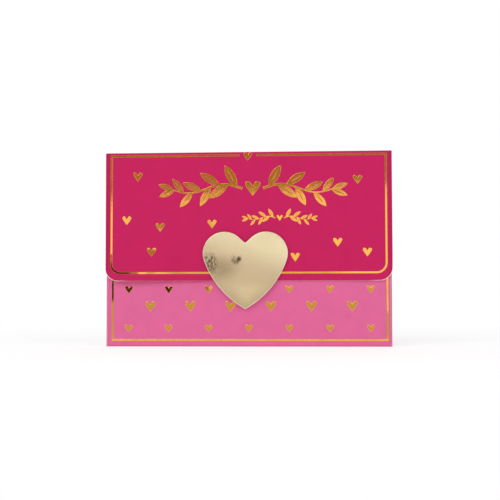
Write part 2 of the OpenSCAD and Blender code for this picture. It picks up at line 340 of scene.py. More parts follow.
def union(parts):
    """Outlines that bound the union of (outline, slit) pairs, what they bound on the left."""
    loops = [loop for pair in parts for loop in pair if loop]
    found, faces, _ = triangles(loops)
    middle = [sum((found[i] for i in f), Vector((0, 0))) / 3 for f in faces]
    held = np.zeros(len(faces), bool)
    for outer, slit in parts:
        held |= inside(middle, [outer]) & ~inside(middle, [slit] if slit else [])
    sides = {(f[i], f[(i + 1) % 3]) for f, h in zip(faces, held) if h for i in range(3)}
    onward = {a: b for a, b in sides if (b, a) not in sides}
    made, speck = [], 0.04
    while onward:
        first, at = onward.popitem()
        ring = [first]
        while at != first:
            ring.append(at)
            at = onward.pop(at)
        points = [tuple(found[i]) for i in ring]
        made.append([p for p, q in zip(points, points[1:] + points[:1])
                     if math.dist(p, q) > speck])
    return made


# Boards -------------------------------------------------------------------------


class Fold:
    """Course of a folded board: points on its printed face and, beside them, on its plain face."""

    def __init__(self, thickness):
        self.thickness, self.printed, self.plain = thickness, [], []

    def straight(self, printed, plain, steps=1):
        """Goes straight to a point on each face. The first call sets the start."""
        if not self.printed:
            self.printed, self.plain = [printed], [plain]
            return self
        a, b = self.printed[-1], self.plain[-1]
        for i in range(1, steps + 1):
            t = i / steps
            self.printed.append((a[0] + (printed[0] - a[0]) * t, a[1] + (printed[1] - a[1]) * t))
            self.plain.append((b[0] + (plain[0] - b[0]) * t, b[1] + (plain[1] - b[1]) * t))
        return self

    def bend(self, centre, start, end, outer, inner, inner_centre=None, steps=8):
        """Turns round a centre. A crease's plain face has a centre of its own, in the corner."""
        own = inner_centre or centre
        self.printed += arc(*centre, outer, start, end, steps)[1 if self.printed else 0:]
        self.plain += arc(*own, inner, start, end, steps)[1 if self.plain else 0:]
        return self

    def done(self):
        """Keeps how far along the printed face each pair of points lies, once complete."""
        steps = [math.dist(a, b) for a, b in zip(self.printed, self.printed[1:])]
        self.rows = [float(s) for s in np.cumsum([0.0] + steps)]
        return self

    def at(self, s, h):
        """Point at a distance along the board, and a height from its plain face."""
        rows = self.rows
        i = min(max(bisect.bisect_right(rows, s) - 1, 0), len(rows) - 2)
        along, t = (s - rows[i]) / (rows[i + 1] - rows[i]), h / self.thickness
        made = []
        for axis in (0, 1):
            a, b = self.printed[i][axis], self.printed[i + 1][axis]
            c, d = self.plain[i][axis], self.plain[i + 1][axis]
            made.append((a + (b - a) * along) * t + (c + (d - c) * along) * (1 - t))
        return made


def inset_all(loops, distance):
    """The outlines moved into the board, or as they are where the distance is zero."""
    return [inset(loop, distance) if distance else loop for loop in loops]


def plate(name, shapes, rings, place, materials, lattice=((), ()), margin=0.2):
    """A thin plate with the given outlines, as a closed mesh.

    rings are (inset, height, material of the band above it) from the rear face up. The
    first has a fourth value, the rear face's material, and the last one's material is
    the front face's. place turns a point of the outline and a height into the frame.
    lattice gives the columns and rows of points that let the faces bow, kept further
    than margin from the outline."""
    bm, rims = bmesh.new(), []
    for loops in shapes:
        stack = []
        for ring in rings:
            stack.append([[bm.verts.new(Vector(place(p[0], p[1], ring[1])) * MM) for p in loop]
                          for loop in inset_all(loops, ring[0])])
        for level, (under, over) in enumerate(zip(stack, stack[1:])):
            for a, b in zip(under, over):
                for i in range(len(a)):
                    j = (i + 1) % len(a)
                    bm.faces.new((a[i], a[j], b[j], b[i])).material_index = rings[level][2]
        for ring, verts, material, front in ((rings[0], stack[0], rings[0][3], False),
                                             (rings[-1], stack[-1], rings[-1][2], True)):
            moved = inset_all(loops, ring[0])
            grid = [(x, y) for x in lattice[0] for y in lattice[1]]
            if grid:
                held = inside(grid, moved)
                near = np.array([p for loop in moved for p in loop])
                grid = [p for p, ok in zip(grid, held)
                        if ok and np.min(np.abs(near - p).sum(axis=1)) > margin]
            found, faces, source = triangles(moved, grid)
            flat = [v for loop in verts for v in loop]
            middle = [sum((found[i] for i in f), Vector((0, 0))) / 3 for f in faces]
            kept = inside(middle, moved)
            made = {}
            for face, ok in zip(faces, kept):
                if not ok:
                    continue
                corners = []
                for i in face:
                    known = [k for k in source[i] if k < len(flat)]
                    if known:
                        corners.append(flat[known[0]])
                    else:
                        if i not in made:
                            made[i] = bm.verts.new(Vector(place(*found[i], ring[1])) * MM)
                        corners.append(made[i])
                if len(set(corners)) == 3:
                    new = bm.faces.new(corners if front else corners[::-1])
                    new.material_index = material
        rims += [bm.edges.get((a, b)) for loop in stack[0] + stack[-1]
                 for a, b in zip(loop, loop[1:] + loop[:1])]
    bmesh.ops.recalc_face_normals(bm, faces=bm.faces)
    return finish_mesh(name, bm, materials, rims)


def finish_mesh(name, bm, materials, rims=()):
    """The mesh as an object in the scene, smooth except at its rims and sharp edges."""
    for edge in bm.edges:
        edge.smooth = edge.calc_face_angle(0) < math.radians(SHARP_ANGLE)
    for edge in rims:
        edge.smooth = False
    mesh = bpy.data.meshes.new(name)
    bm.to_mesh(mesh)
    bm.free()
    for material in materials:
        mesh.materials.append(material)
    mesh.shade_smooth()
    made = bpy.data.objects.new(name, mesh)
    bpy.context.scene.collection.objects.link(made)
    return made


def tube(bm, points, radius, sides=5):
    """A round strand along points, closed at both ends."""
    rings, across = [], None
    points = [Vector(p) for p in points]
    for i, p in enumerate(points):
        ahead = points[min(i + 1, len(points) - 1)] - points[max(i - 1, 0)]
        if across is None:
            across = ahead.orthogonal().normalized()
        else:
            onward = ahead.normalized()
            across = (across - onward * across.dot(onward)).normalized()
        up = ahead.cross(across).normalized()
        turns = [2 * math.pi * k / sides for k in range(sides)]
        rings.append([bm.verts.new((p + (across * math.cos(a) + up * math.sin(a)) * radius) * MM)
                      for a in turns])
    for a, b in zip(rings, rings[1:]):
        for k in range(sides):
            j = (k + 1) % sides
            bm.faces.new((a[k], a[j], b[j], b[k]))
    bm.faces.new(rings[0][::-1])
    bm.faces.new(rings[-1])


def panel_rings(t, r):
    """Rings of a board that is white inside, bare at its cut edge and printed outside."""
    return [(r, 0, 2, 1), (0, r, 2), (0, t - r, 2), (r, t, 0)]


def foil_rings(t, r):
    """Rings of stamped foil, pressed a little into the board with a soft edge."""
    return [(0, -0.03, 0, 0), (0, t * 0.5, 0), (r * 0.4, t * 0.84, 0), (r, t, 0)]


# Materials ----------------------------------------------------------------------


def add(tree, kind, inputs=None, **settings):
    """Adds one node. inputs are values or outputs by socket, settings its attributes."""
    node = tree.nodes.new(kind)
    for key, value in settings.items():
        setattr(node, key, value)
    for key, value in (inputs or {}).items():
        if isinstance(value, bpy.types.NodeSocket):
            tree.links.new(value, node.inputs[key])
        else:
            node.inputs[key].default_value = value
    return node


def new_material(name):
    """An empty node material, or the one already made under that name, and its tree."""
    known = bpy.data.materials.get(name)
    if known:
        return known, None
    material = bpy.data.materials.new(name)
    material.use_nodes = True
    material.node_tree.nodes.clear()
    return material, material.node_tree


def shade(rgb, factor):
    """A linear colour made darker or lighter, with its alpha."""
    return [min(1.0, c * factor) for c in rgb] + [1.0]


def per_mm(size):
    """Texture scale that gives features of a size in millimetres."""
    return 1 / (size * MM)


def laminated_board(name, rgb, edge_shade):
    """Art board, offset printed and matt laminated: an even colour with faint mottling of
    the ink, a soft satin sheen, a fine pebble from the fibres under the film, and painted
    shade that darkens it along the trimmed sides and the foot."""
    material, tree = new_material(name)
    if tree is None:
        return material
    where = add(tree, "ShaderNodeTexCoord").outputs["Object"]
    # Ink lies unevenly in clouds of about 9 mm and in specks of about 0.6 mm
    clouds = add(tree, "ShaderNodeTexNoise", {"Vector": where, "Scale": per_mm(9), "Detail": 3.0,
                                              "Roughness": 0.55})
    specks = add(tree, "ShaderNodeTexNoise", {"Vector": where, "Scale": per_mm(0.6),
                                              "Detail": 2.0})
    both = add(tree, "ShaderNodeMath", {0: clouds.outputs[0], 1: specks.outputs[0]},
               operation="ADD")
    amount = add(tree, "ShaderNodeMapRange", {0: both.outputs[0], 1: 0.7, 2: 1.3, 3: 0.0, 4: 1.0})
    tint = add(tree, "ShaderNodeMix", {0: amount.outputs[0], 6: shade(rgb, 0.95),
                                       7: shade(rgb, 1.04)}, data_type="RGBA")
    # Painted shade: the colour is darkened along the trimmed sides, where the board bends
    # away from the light, and at the foot, where it stands in the floor's shadow
    apart = add(tree, "ShaderNodeSeparateXYZ", {0: where})
    sides = add(tree, "ShaderNodeMath", {0: apart.outputs[0]}, operation="ABSOLUTE")
    sides = add(tree, "ShaderNodeMapRange", {0: sides.outputs[0], 1: 82.2 * MM, 2: 84.2 * MM,
                                             3: 0.0, 4: 0.8}, interpolation_type="SMOOTHSTEP")
    foot = add(tree, "ShaderNodeMapRange", {0: apart.outputs[2], 1: 1.1 * MM, 2: 0.4 * MM,
                                            3: 0.0, 4: 1.0}, interpolation_type="SMOOTHSTEP")
    edges = add(tree, "ShaderNodeMath", {0: sides.outputs[0], 1: foot.outputs[0]},
                operation="MAXIMUM")
    tint = add(tree, "ShaderNodeMix", {0: edges.outputs[0], 6: tint.outputs[2],
                                       7: shade(rgb, edge_shade)}, data_type="RGBA")
    # Fibres of 0.1 mm are too fine to show, so the pebble is drawn at 0.35 mm
    pebble = add(tree, "ShaderNodeTexNoise", {"Vector": where, "Scale": per_mm(0.35),
                                              "Detail": 3.0, "Roughness": 0.6})
    bump = add(tree, "ShaderNodeBump", {"Height": pebble.outputs[0], "Strength": 0.25,
                                        "Distance": 0.00002})
    rough = add(tree, "ShaderNodeMapRange", {0: clouds.outputs[0], 1: 0.3, 2: 0.7,
                                             3: 0.46, 4: 0.58})
    surface = add(tree, "ShaderNodeBsdfPrincipled", {
        "Base Color": tint.outputs[2], "Roughness": rough.outputs[0], "IOR": 1.48,
        "Specular IOR Level": 0.1, "Normal": bump.outputs[0]})
    add(tree, "ShaderNodeOutputMaterial", {0: surface.outputs[0]})
    return material


def fibre_board(name, rgb, flecks, fibre_w, through=0.0):
    """Bleached pulp board, uncoated: matt, slightly warm, with fibre flecks. On a cut edge
    the pressed layers show as fine lines along the sheet. flecks is how much the fibres
    vary in colour, fibre_w their width in millimetres, and through the strength of a
    painted glow that stands in for the light the thin board lets into the closed pouch."""
    material, tree = new_material(name)
    if tree is None:
        return material
    where = add(tree, "ShaderNodeTexCoord").outputs["Object"]
    # Fibres are about 0.15 mm wide and lie mostly along the sheet. On a whole face they
    # are too fine to show, so they are drawn 0.5 mm wide there, and five times as long
    stretch = add(tree, "ShaderNodeMapping", {0: where, 3: (0.2, 1.0, 1.0)})
    fibres = add(tree, "ShaderNodeTexNoise", {"Vector": stretch.outputs[0],
                                              "Scale": per_mm(fibre_w), "Detail": 4.0})
    clouds = add(tree, "ShaderNodeTexNoise", {"Vector": where, "Scale": per_mm(6), "Detail": 2.0})
    both = add(tree, "ShaderNodeMath", {0: fibres.outputs[0], 1: clouds.outputs[0]},
               operation="ADD")
    amount = add(tree, "ShaderNodeMapRange", {0: both.outputs[0], 1: 0.75, 2: 1.25,
                                              3: 0.0, 4: 1.0})
    tint = add(tree, "ShaderNodeMix", {0: amount.outputs[0], 6: shade(rgb, 1 - flecks),
                                       7: shade(rgb, 1 + flecks / 2)}, data_type="RGBA")
    bump = add(tree, "ShaderNodeBump", {"Height": fibres.outputs[0], "Strength": 0.4,
                                        "Distance": 0.00003})
    rough = add(tree, "ShaderNodeMapRange", {0: clouds.outputs[0], 1: 0.3, 2: 0.7,
                                             3: 0.78, 4: 0.9})
    # The emission, as strong as through, is a painted glow for light let in through the thin board
    surface = add(tree, "ShaderNodeBsdfPrincipled", {
        "Base Color": tint.outputs[2], "Roughness": rough.outputs[0], "IOR": 1.45,
        "Normal": bump.outputs[0], "Emission Color": shade(rgb, 1.0),
        "Emission Strength": through})
    add(tree, "ShaderNodeOutputMaterial", {0: surface.outputs[0]})
    return material


def stamped_foil(name, rgb):
    """Hot-stamped foil: aluminium under gold lacquer. It mirrors the room with soft edges,
    because the board's fibres print through and ripple it a little."""
    material, tree = new_material(name)
    if tree is None:
        return material
    where = add(tree, "ShaderNodeTexCoord").outputs["Object"]
    # The die presses unevenly over about 5 mm, and fibres print through at 0.4 mm
    press = add(tree, "ShaderNodeTexNoise", {"Vector": where, "Scale": per_mm(5), "Detail": 2.0})
    grain = add(tree, "ShaderNodeTexNoise", {"Vector": where, "Scale": per_mm(0.4), "Detail": 3.0,
                                             "Roughness": 0.6})
    tint = add(tree, "ShaderNodeMix", {0: press.outputs[0], 6: shade(rgb, 0.94),
                                       7: shade(rgb, 1.03)}, data_type="RGBA")
    ripple = add(tree, "ShaderNodeBump", {"Height": press.outputs[0], "Strength": 1.0,
                                          "Distance": 0.00002})
    bump = add(tree, "ShaderNodeBump", {"Height": grain.outputs[0], "Strength": 0.3,
                                        "Distance": 0.000004, "Normal": ripple.outputs[0]})
    rough = add(tree, "ShaderNodeMapRange", {0: grain.outputs[0], 1: 0.3, 2: 0.7,
                                             3: 0.06, 4: 0.11})
    surface = add(tree, "ShaderNodeBsdfPrincipled", {
        "Base Color": tint.outputs[2], "Metallic": 1.0, "Roughness": rough.outputs[0],
        "Normal": bump.outputs[0]})
    add(tree, "ShaderNodeOutputMaterial", {0: surface.outputs[0]})
    return material


def mirror_film(name, rgb):
    """Metallised polyester film, champagne lacquered and finely brushed: a cloudy mirror
    with a painted reflection that is brighter at the top, a broad patch of painted shade,
    faint upright streaks and the smudges of handling."""
    material, tree = new_material(name)
    if tree is None:
        return material
    where = add(tree, "ShaderNodeTexCoord").outputs["Object"]
    apart = add(tree, "ShaderNodeSeparateXYZ", {0: where})
    # Brush lines of 0.05 mm are too fine to show, so they are drawn 0.5 mm wide, 12 mm long
    stretch = add(tree, "ShaderNodeMapping", {0: where, 3: (1.0, 1.0, 0.04)})
    streaks = add(tree, "ShaderNodeTexNoise", {"Vector": stretch.outputs[0], "Scale": per_mm(0.5),
                                               "Detail": 2.0})
    haze = add(tree, "ShaderNodeTexNoise", {"Vector": where, "Scale": per_mm(11), "Detail": 3.0,
                                            "Roughness": 0.6})
    # Painted reflection: the colour is palest at the upper right and fades to a greyer gold below
    # and at the left
    slant = add(tree, "ShaderNodeMath", {0: apart.outputs[0], 1: 0.3, 2: apart.outputs[2]},
                operation="MULTIPLY_ADD")
    slant = add(tree, "ShaderNodeMath", {0: haze.outputs[0], 1: 4 * MM, 2: slant.outputs[0]},
                operation="MULTIPLY_ADD")
    rise = add(tree, "ShaderNodeMapRange", {0: slant.outputs[0], 1: 47 * MM, 2: 69 * MM,
                                            3: 0.0, 4: 1.0}, interpolation_type="SMOOTHSTEP")
    tint = add(tree, "ShaderNodeMix", {0: rise.outputs[0], 6: shade(rgb, 0.86),
                                       7: shade(rgb, 1.3)}, data_type="RGBA")
    # A broad darker patch at the left is painted shade, and handling left scuffs at the left
    # edge and dark rubs beside the middle: middle, half width and height in mm, how scuffed,
    # how deep and colour of each
    for centre, wide, tall, scuffed, depth, rub_and_shade in (
            # The first row is the broad patch of painted shade, the others are scuffs and rubs
            ((-17, 46.6), 17, 10.5, 0.25, 0.58, "#8C7A58"),
            ((-22.8, 49.5), 6.0, 8.0, 1.0, 0.9, "#3A3020"),
            ((-5.2, 51.9), 2.3, 2.5, 0.2, 1.0, "#2C2417"),
            ((-8.4, 51.5), 2.3, 3.4, 0.8, 0.7, "#4A3E2A"),
            ((-6.8, 50.2), 2.3, 2.3, 0.5, 0.8, "#3E3322")):
        local = add(tree, "ShaderNodeMapping", {0: where,
                                                1: (-centre[0] / wide, 0, -centre[1] / tall),
                                                3: (per_mm(wide), 0.0, per_mm(tall))})
        away = add(tree, "ShaderNodeVectorMath", {0: local.outputs[0]}, operation="LENGTH")
        near = add(tree, "ShaderNodeMapRange", {0: away.outputs["Value"], 1: 0.4 * scuffed,
                                                2: 1.0, 3: 1.0, 4: 0.0},
                   interpolation_type="SMOOTHSTEP")
        rubs = add(tree, "ShaderNodeMapping", {0: where, 3: (1.0, 1.0, 0.35)})
        strands = add(tree, "ShaderNodeTexNoise", {"Vector": rubs.outputs[0],
                                                   "Scale": per_mm(0.65),
                                                   "Detail": 3.0, "Roughness": 0.65})
        bite = add(tree, "ShaderNodeMapRange", {0: strands.outputs[0], 1: 0.44, 2: 0.58,
                                                3: 1 - scuffed, 4: 1.0})
        mask = add(tree, "ShaderNodeMath", {0: near.outputs[0], 1: bite.outputs[0]},
                   operation="MULTIPLY")
        mask = add(tree, "ShaderNodeMath", {0: mask.outputs[0], 1: depth}, operation="MULTIPLY")
        tint = add(tree, "ShaderNodeMix", {0: mask.outputs[0], 6: tint.outputs[2],
                                           7: shade(linear(rub_and_shade), 1.0)}, data_type="RGBA")
    bump = add(tree, "ShaderNodeBump", {"Height": streaks.outputs[0], "Strength": 0.25,
                                        "Distance": 0.000006})
    rough = add(tree, "ShaderNodeMapRange", {0: haze.outputs[0], 1: 0.3, 2: 0.7, 3: 0.18, 4: 0.26})
    surface = add(tree, "ShaderNodeBsdfPrincipled", {
        "Base Color": tint.outputs[2], "Metallic": 1.0, "Roughness": rough.outputs[0],
        "Normal": bump.outputs[0]})
    add(tree, "ShaderNodeOutputMaterial", {0: surface.outputs[0]})
    return material


def cell_foam(name, rgb):
    """Closed-cell polyethylene foam: matt white, with a skin of small round cells."""
    material, tree = new_material(name)
    if tree is None:
        return material
    where = add(tree, "ShaderNodeTexCoord").outputs["Object"]
    cells = add(tree, "ShaderNodeTexVoronoi", {"Vector": where, "Scale": per_mm(0.4)})
    tint = add(tree, "ShaderNodeMix", {0: cells.outputs["Distance"], 6: shade(rgb, 0.86),
                                       7: shade(rgb, 1.0)}, data_type="RGBA")
    bump = add(tree, "ShaderNodeBump", {"Height": cells.outputs["Distance"], "Strength": 0.6,
                                        "Distance": 0.00008})
    surface = add(tree, "ShaderNodeBsdfPrincipled", {
        "Base Color": tint.outputs[2], "Roughness": 0.85, "IOR": 1.5, "Normal": bump.outputs[0],
        "Subsurface Weight": 0.1})
    add(tree, "ShaderNodeOutputMaterial", {0: surface.outputs[0]})
    return material


def nylon_tape(name, rgb):
    """Woven nylon tape and its filaments: bright white, with a slight plastic gloss."""
    material, tree = new_material(name)
    if tree is None:
        return material
    where = add(tree, "ShaderNodeTexCoord").outputs["Object"]
    # Ground weave of 0.3 mm yarns
    weave = add(tree, "ShaderNodeTexWave", {"Vector": where, "Scale": per_mm(0.3) / 6.3,
                                            "Distortion": 1.0})
    tint = add(tree, "ShaderNodeMix", {0: weave.outputs[0], 6: shade(rgb, 0.88),
                                       7: shade(rgb, 1.0)}, data_type="RGBA")
    surface = add(tree, "ShaderNodeBsdfPrincipled", {
        "Base Color": tint.outputs[2], "Roughness": 0.45, "IOR": 1.53,
        "Sheen Weight": 0.2})
    add(tree, "ShaderNodeOutputMaterial", {0: surface.outputs[0]})
    return material


def dried_glue(name, rgb):
    """Dispersion glue, dried: thin, slightly yellow and glossy where it squeezed out."""
    material, tree = new_material(name)
    if tree is None:
        return material
    where = add(tree, "ShaderNodeTexCoord").outputs["Object"]
    flow = add(tree, "ShaderNodeTexNoise", {"Vector": where, "Scale": per_mm(2), "Detail": 2.0})
    tint = add(tree, "ShaderNodeMix", {0: flow.outputs[0], 6: shade(rgb, 0.85),
                                       7: shade(rgb, 1.05)}, data_type="RGBA")
    surface = add(tree, "ShaderNodeBsdfPrincipled", {
        "Base Color": tint.outputs[2], "Roughness": 0.3, "IOR": 1.47})
    add(tree, "ShaderNodeOutputMaterial", {0: surface.outputs[0]})
    return material


def board_set(rgb, name, edge_shade):
    """Materials of a board: printed face, plain face and cut edge."""
    c = bpy.context.scene.pouch_colours
    # The printed face is darkened with painted shade at its sides and foot, and the plain inside
    # is given a faint painted glow
    return [laminated_board(name, rgb, edge_shade),
            fibre_board("bleached_board_inside", list(c.inside), 0.03, 0.5, 0.06),
            fibre_board("bleached_board_cut_edge", list(c.core), 0.06, 0.15)]


# Shapes shared by the pieces ------------------------------------------------------


def square(left, bottom, right, top):
    """Outline of a rectangle from two of its corners."""
    return [(left, bottom), (right, bottom), (right, top), (left, top)]


def soft(start, end, value):
    """Soft step from 0 at one value to 1 at another."""
    t = min(1.0, max(0.0, (value - start) / (end - start)))
    return t * t * (3 - 2 * t)


def flap_lift(x, z):
    """How far the flap's face lies in front of flat: its lower corners curl off the pocket
    and its left half has two shallow waves."""
    p = bpy.context.scene.pouch_sizes
    reach, rise = p.curl_reach / MM, p.curl_rise / MM
    half, up = high("flap_panel").x, max(0.0, 1 - (z - low("flap_panel").z) / rise)
    lift = 0.0
    for side, most in ((-1, p.left_curl), (1, p.right_curl)):
        lift += most / MM * soft(half - reach, half - reach / 4, side * x) * up ** 1.5
    for wave_x, wave_z, wide, tall, height in FLAP_WAVES:
        lift += height * math.exp(-((x - wave_x) / wide) ** 2 - ((z - wave_z) / tall) ** 2)
    return lift


def pocket_lift(x, z):
    """How far the pocket's face lies in front of flat, here less than none: its left half
    bows in behind the flap, from a little below the flap's edge up to the mouth."""
    p = bpy.context.scene.pouch_sizes
    across = soft(-84.2, -72, x) * (1 - soft(-45, 0, x))
    start, ease, end, deepest = 27.5, 4.0, 39.5, 15.8
    mouth = high("pocket_front").z
    if z < start:
        depth = 0.0
    elif z < start + ease:
        depth = (z - start) ** 2 / (2 * ease)
    elif z < end:
        depth = z - start - ease / 2
    else:
        # From the flap's edge up the bow eases to its deepest and comes back to the mouth
        full, t = end - start - ease / 2, (z - end) / (mouth - end)
        depth = full * (1 - t) ** 2 * (1 + (2 + (mouth - end) / full) * t)
    return -p.pocket_bow / MM * across * depth / deepest


def span(start, end, step):
    """Even values from start to end, no further apart than step, both ends included."""
    count = max(1, math.ceil(abs(end - start) / step - 1e-6))
    return [start + (end - start) * i / count for i in range(count + 1)]


def settle(piece, node, body):
    """The piece stands for its node, which is hidden, and rides on its body."""
    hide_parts(node)
    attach(piece, body)


class BuildPocket(bpy.types.Operator):
    """Folds the pocket: front with its thumb cut, side walls, bottom, glue tabs and glue"""

    bl_idname = "pouch.pocket"
    bl_label = "Pocket"

    def execute(self, context):
        p, c = context.scene.pouch_sizes, context.scene.pouch_colours
        t, edge, grid = p.board_t / MM, p.edge_round / MM, p.grid / MM
        inner = p.bend_r / MM
        outer = inner + t
        # 0.86 sets how dark the painted shade at the pocket's sides and foot is
        pink = board_set(list(c.pink), "laminated_board_pink", 0.86)
        rings = panel_rings(t, edge)

        front_y, top = low("pocket_front").y, high("pocket_front").z
        half = high("pocket_front").x
        foot = (front_y + outer, outer)
        steps = math.ceil((top - outer) / grid)
        course = (Fold(t).bend(foot, -90, -180, outer, inner, steps=6)
                  .straight((front_y, top), (front_y + t, top), steps).done())
        s_top = course.rows[-1]
        cut_r = (THUMB_W * THUMB_W / 4 + THUMB_D * THUMB_D) / (2 * THUMB_D)
        reach = math.degrees(math.asin(THUMB_W / 2 / cut_r))
        cut = arc(0, s_top - THUMB_D + cut_r, cut_r, -90 + reach, -90 - reach, 24)
        outline = [(-half, 0), (half, 0), (half, s_top)] + cut + [(-half, s_top)]
        outline = wind(refine(outline, grid, course.rows))

        def on_front(x, s, h):
            y, z = course.at(s, h)
            return x, y - pocket_lift(x, z), z

        front = plate("pocket_front_board", [[outline]], rings, on_front, pink,
                      (span(-half, half, grid), course.rows[:-1]))
        settle(front, "pocket_front", "pouch")

        flat = low("bottom_wall"), high("bottom_wall")
        base = wind(refine(square(flat[0].x, flat[0].y, flat[1].x, flat[1].y), grid))
        bottom = plate("bottom_board", [[base]], rings,
                       lambda x, y, h: (x, y, flat[1].z - h), pink)
        settle(bottom, "bottom_wall", "pouch")

        side_x, rear = high("right_side_wall").x, high("right_side_wall").y
        for side, word in ((-1, "left"), (1, "right")):
            wall_course = (Fold(t).bend((side_x - outer, front_y + outer), -90, 0, outer, inner)
                           .straight((side_x, rear - outer), (side_x - t, rear - outer), 3)
                           .bend((side_x - outer, rear - outer), 0, 90, outer, inner).done())
            s_end = wall_course.rows[-1]
            outline = wind(refine(square(0, 0, top, s_end), grid, wall_course.rows))

            def on_wall(z, s, h, course=wall_course, side=side):
                x, y = course.at(s, h)
                return side * x, y, z

            wall = plate(f"{word}_wall_board", [[outline]], rings, on_wall, pink,
                         (span(0, top, grid), wall_course.rows))
            settle(wall, f"{word}_side_wall", "pouch")

            tab_low, tab_high = low("right_glue_tab"), high("right_glue_tab")
            taper = 4
            outline = [(tab_low.x, tab_low.z + taper), (tab_high.x, tab_low.z),
                       (tab_high.x, tab_high.z), (tab_low.x, tab_high.z - taper)]
            outline = wind(refine([(side * x, z) for x, z in outline], grid))
            tab = plate(f"{word}_tab_board", [[outline]], rings,
                        lambda x, z, h: (x, tab_low.y + h, z), pink)
            settle(tab, f"{word}_glue_tab", "pouch")

        lines = []
        glue_low, glue_high = low("glue_lines"), high("glue_lines")
        middle, width, short, step = glue_high.x - 3, 5.4, 0.4, 1.5
        for side in (-1, 1):
            edges = [[], []]
            for i, z in enumerate(span(glue_low.z + short, glue_high.z - short, step)):
                # The bead wavers by two sines that don't repeat together
                wave = 0.22 * math.sin(1.9 * i + side) + 0.12 * math.sin(0.7 * i)
                edges[0].append((side * middle - width / 2 + wave, z))
                edges[1].append((side * middle + width / 2 + wave * 0.6, z))
            lines.append([wind(edges[0] + edges[1][::-1])])
        glue = plate("tab_glue", lines, [(0.1, 0, 0, 0), (0, 0.05, 0), (0.1, 0.1, 0)],
                     lambda x, z, h: (x, glue_low.y + h, z),
                     [dried_glue("dispersion_glue_dried", list(c.glue))])
        settle(glue, "glue_lines", "pouch")
        return {"FINISHED"}


class BuildBack(bpy.types.Operator):
    """Folds the back panel, with its foot bend and rear crease, and lays the top board"""

    bl_idname = "pouch.back"
    bl_label = "Back and top"

    def execute(self, context):
        p, c = context.scene.pouch_sizes, context.scene.pouch_colours
        t, edge, grid = p.board_t / MM, p.edge_round / MM, p.grid / MM
        inner = p.bend_r / MM
        outer = inner + t
        # 0.78 sets how dark the painted shade at the back's sides and foot is
        magenta = board_set(list(c.magenta), "laminated_board_magenta", 0.78)
        rear, half, foot_half = high("back_panel").y, high("back_panel").x, high("bottom_wall").x
        top = high("top_wall").z
        axis = (rear - t / 2, top - t / 2)
        # The printed faces meet at the seams, where the rounded edges lie inside each other
        rear_end = axis[0] - SEAM + edge
        corner = (axis[0] - t / 2 - FILLET, axis[1] - t / 2 - FILLET)
        below = axis[1] - CREASE_RUN
        steps, foot_steps = math.ceil((below - outer) / grid), 6
        course = (Fold(t).bend((rear - outer, outer), -90, 0, outer, inner, steps=foot_steps)
                  .straight((rear, below), (rear - t, corner[1] - 0.9 * CREASE_RUN), steps)
                  .straight((rear, axis[1]), (rear - t, corner[1]), 6)
                  .bend(axis, 0, 90, t / 2, FILLET, corner)
                  .straight((rear_end - 2 * edge, top), (rear_end - 2 * edge, top - t), 4).done())
        rows = course.rows
        s_foot = rows[foot_steps]
        outline = [(-foot_half, 0), (foot_half, 0), (foot_half, s_foot), (half, s_foot),
                   (half, rows[-1]), (-half, rows[-1]), (-half, s_foot), (-foot_half, s_foot)]
        outline = wind(refine(outline, grid, rows))

        def on_back(x, s, h):
            y, z = course.at(s, h)
            return x, y, z

        back = plate("back_board", [[outline]], panel_rings(t, edge), on_back, magenta,
                     (span(-half, half, grid), rows[1:-1]), 0.06)
        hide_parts("back_panel")
        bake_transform(back)

        front_end = low("flap_panel").y + t / 2 + SEAM - edge
        flat = wind(refine(square(-half, front_end, half, rear_end), grid))
        roof = plate("top_board", [[flat]], panel_rings(t, edge),
                     lambda x, y, h: (x, y, top - t + h), magenta,
                     (span(-half, half, grid), span(front_end, rear_end, 1.5)))
        settle(roof, "top_wall", "top")
        return {"FINISHED"}


class BuildFlap(bpy.types.Operator):
    """Folds the flap over the front crease, with its round lower corners"""

    bl_idname = "pouch.flap"
    bl_label = "Flap"

    def execute(self, context):
        p, c = context.scene.pouch_sizes, context.scene.pouch_colours
        t, edge, grid = p.board_t / MM, p.edge_round / MM, p.grid / MM
        # 0.78 sets how dark the painted shade at the flap's sides and foot is
        magenta = board_set(list(c.magenta), "laminated_board_magenta", 0.78)
        face, half, foot = low("flap_panel").y, high("flap_panel").x, low("flap_panel").z
        top = high("top_wall").z
        axis = (face + t / 2, top - t / 2)
        corner = (axis[0] + t / 2 + FILLET, axis[1] - t / 2 - FILLET)
        below, fine = axis[1] - CREASE_RUN, grid * 0.6
        steps = math.ceil((below - foot) / fine)
        rear_end = axis[0] + SEAM + edge
        course = (Fold(t).straight((rear_end, top), (rear_end, top - t))
                  .straight((axis[0], top), (corner[0], top - t), 4)
                  .bend(axis, 90, 180, t / 2, FILLET, corner)
                  .straight((face, below), (face + t, corner[1] - 0.9 * CREASE_RUN), 6)
                  .straight((face, foot), (face + t, foot), steps).done())
        rows = course.rows
        end = rows[-1]
        outline = ([(-half, 0), (half, 0)]
                   + arc(half - FLAP_ROUND, end - FLAP_ROUND, FLAP_ROUND, 0, 90, 14)
                   + arc(-half + FLAP_ROUND, end - FLAP_ROUND, FLAP_ROUND, 90, 180, 14))
        outline = wind(refine(outline, fine, rows))
        wear_at, wear_reach = 2, 13

        def on_flap(x, s, h):
            y, z = course.at(s, h)
            return x, y - (flap_lift(x, z) if z < below else 0), z

        def worn(point):
            near = min(math.dist(point, (side * (half - wear_at), end - wear_at))
                       for side in (-1, 1))
            return edge + p.corner_wear / MM * max(0.0, 1 - near / wear_reach)

        rings = panel_rings(t, edge)
        rings[-1] = (worn, t, 0)
        flap = plate("flap_board", [[outline]], rings, on_flap, magenta,
                     (span(-half, half, fine), rows[1:-1]), 0.06)
        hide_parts("flap_panel")
        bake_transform(flap)
        return {"FINISHED"}


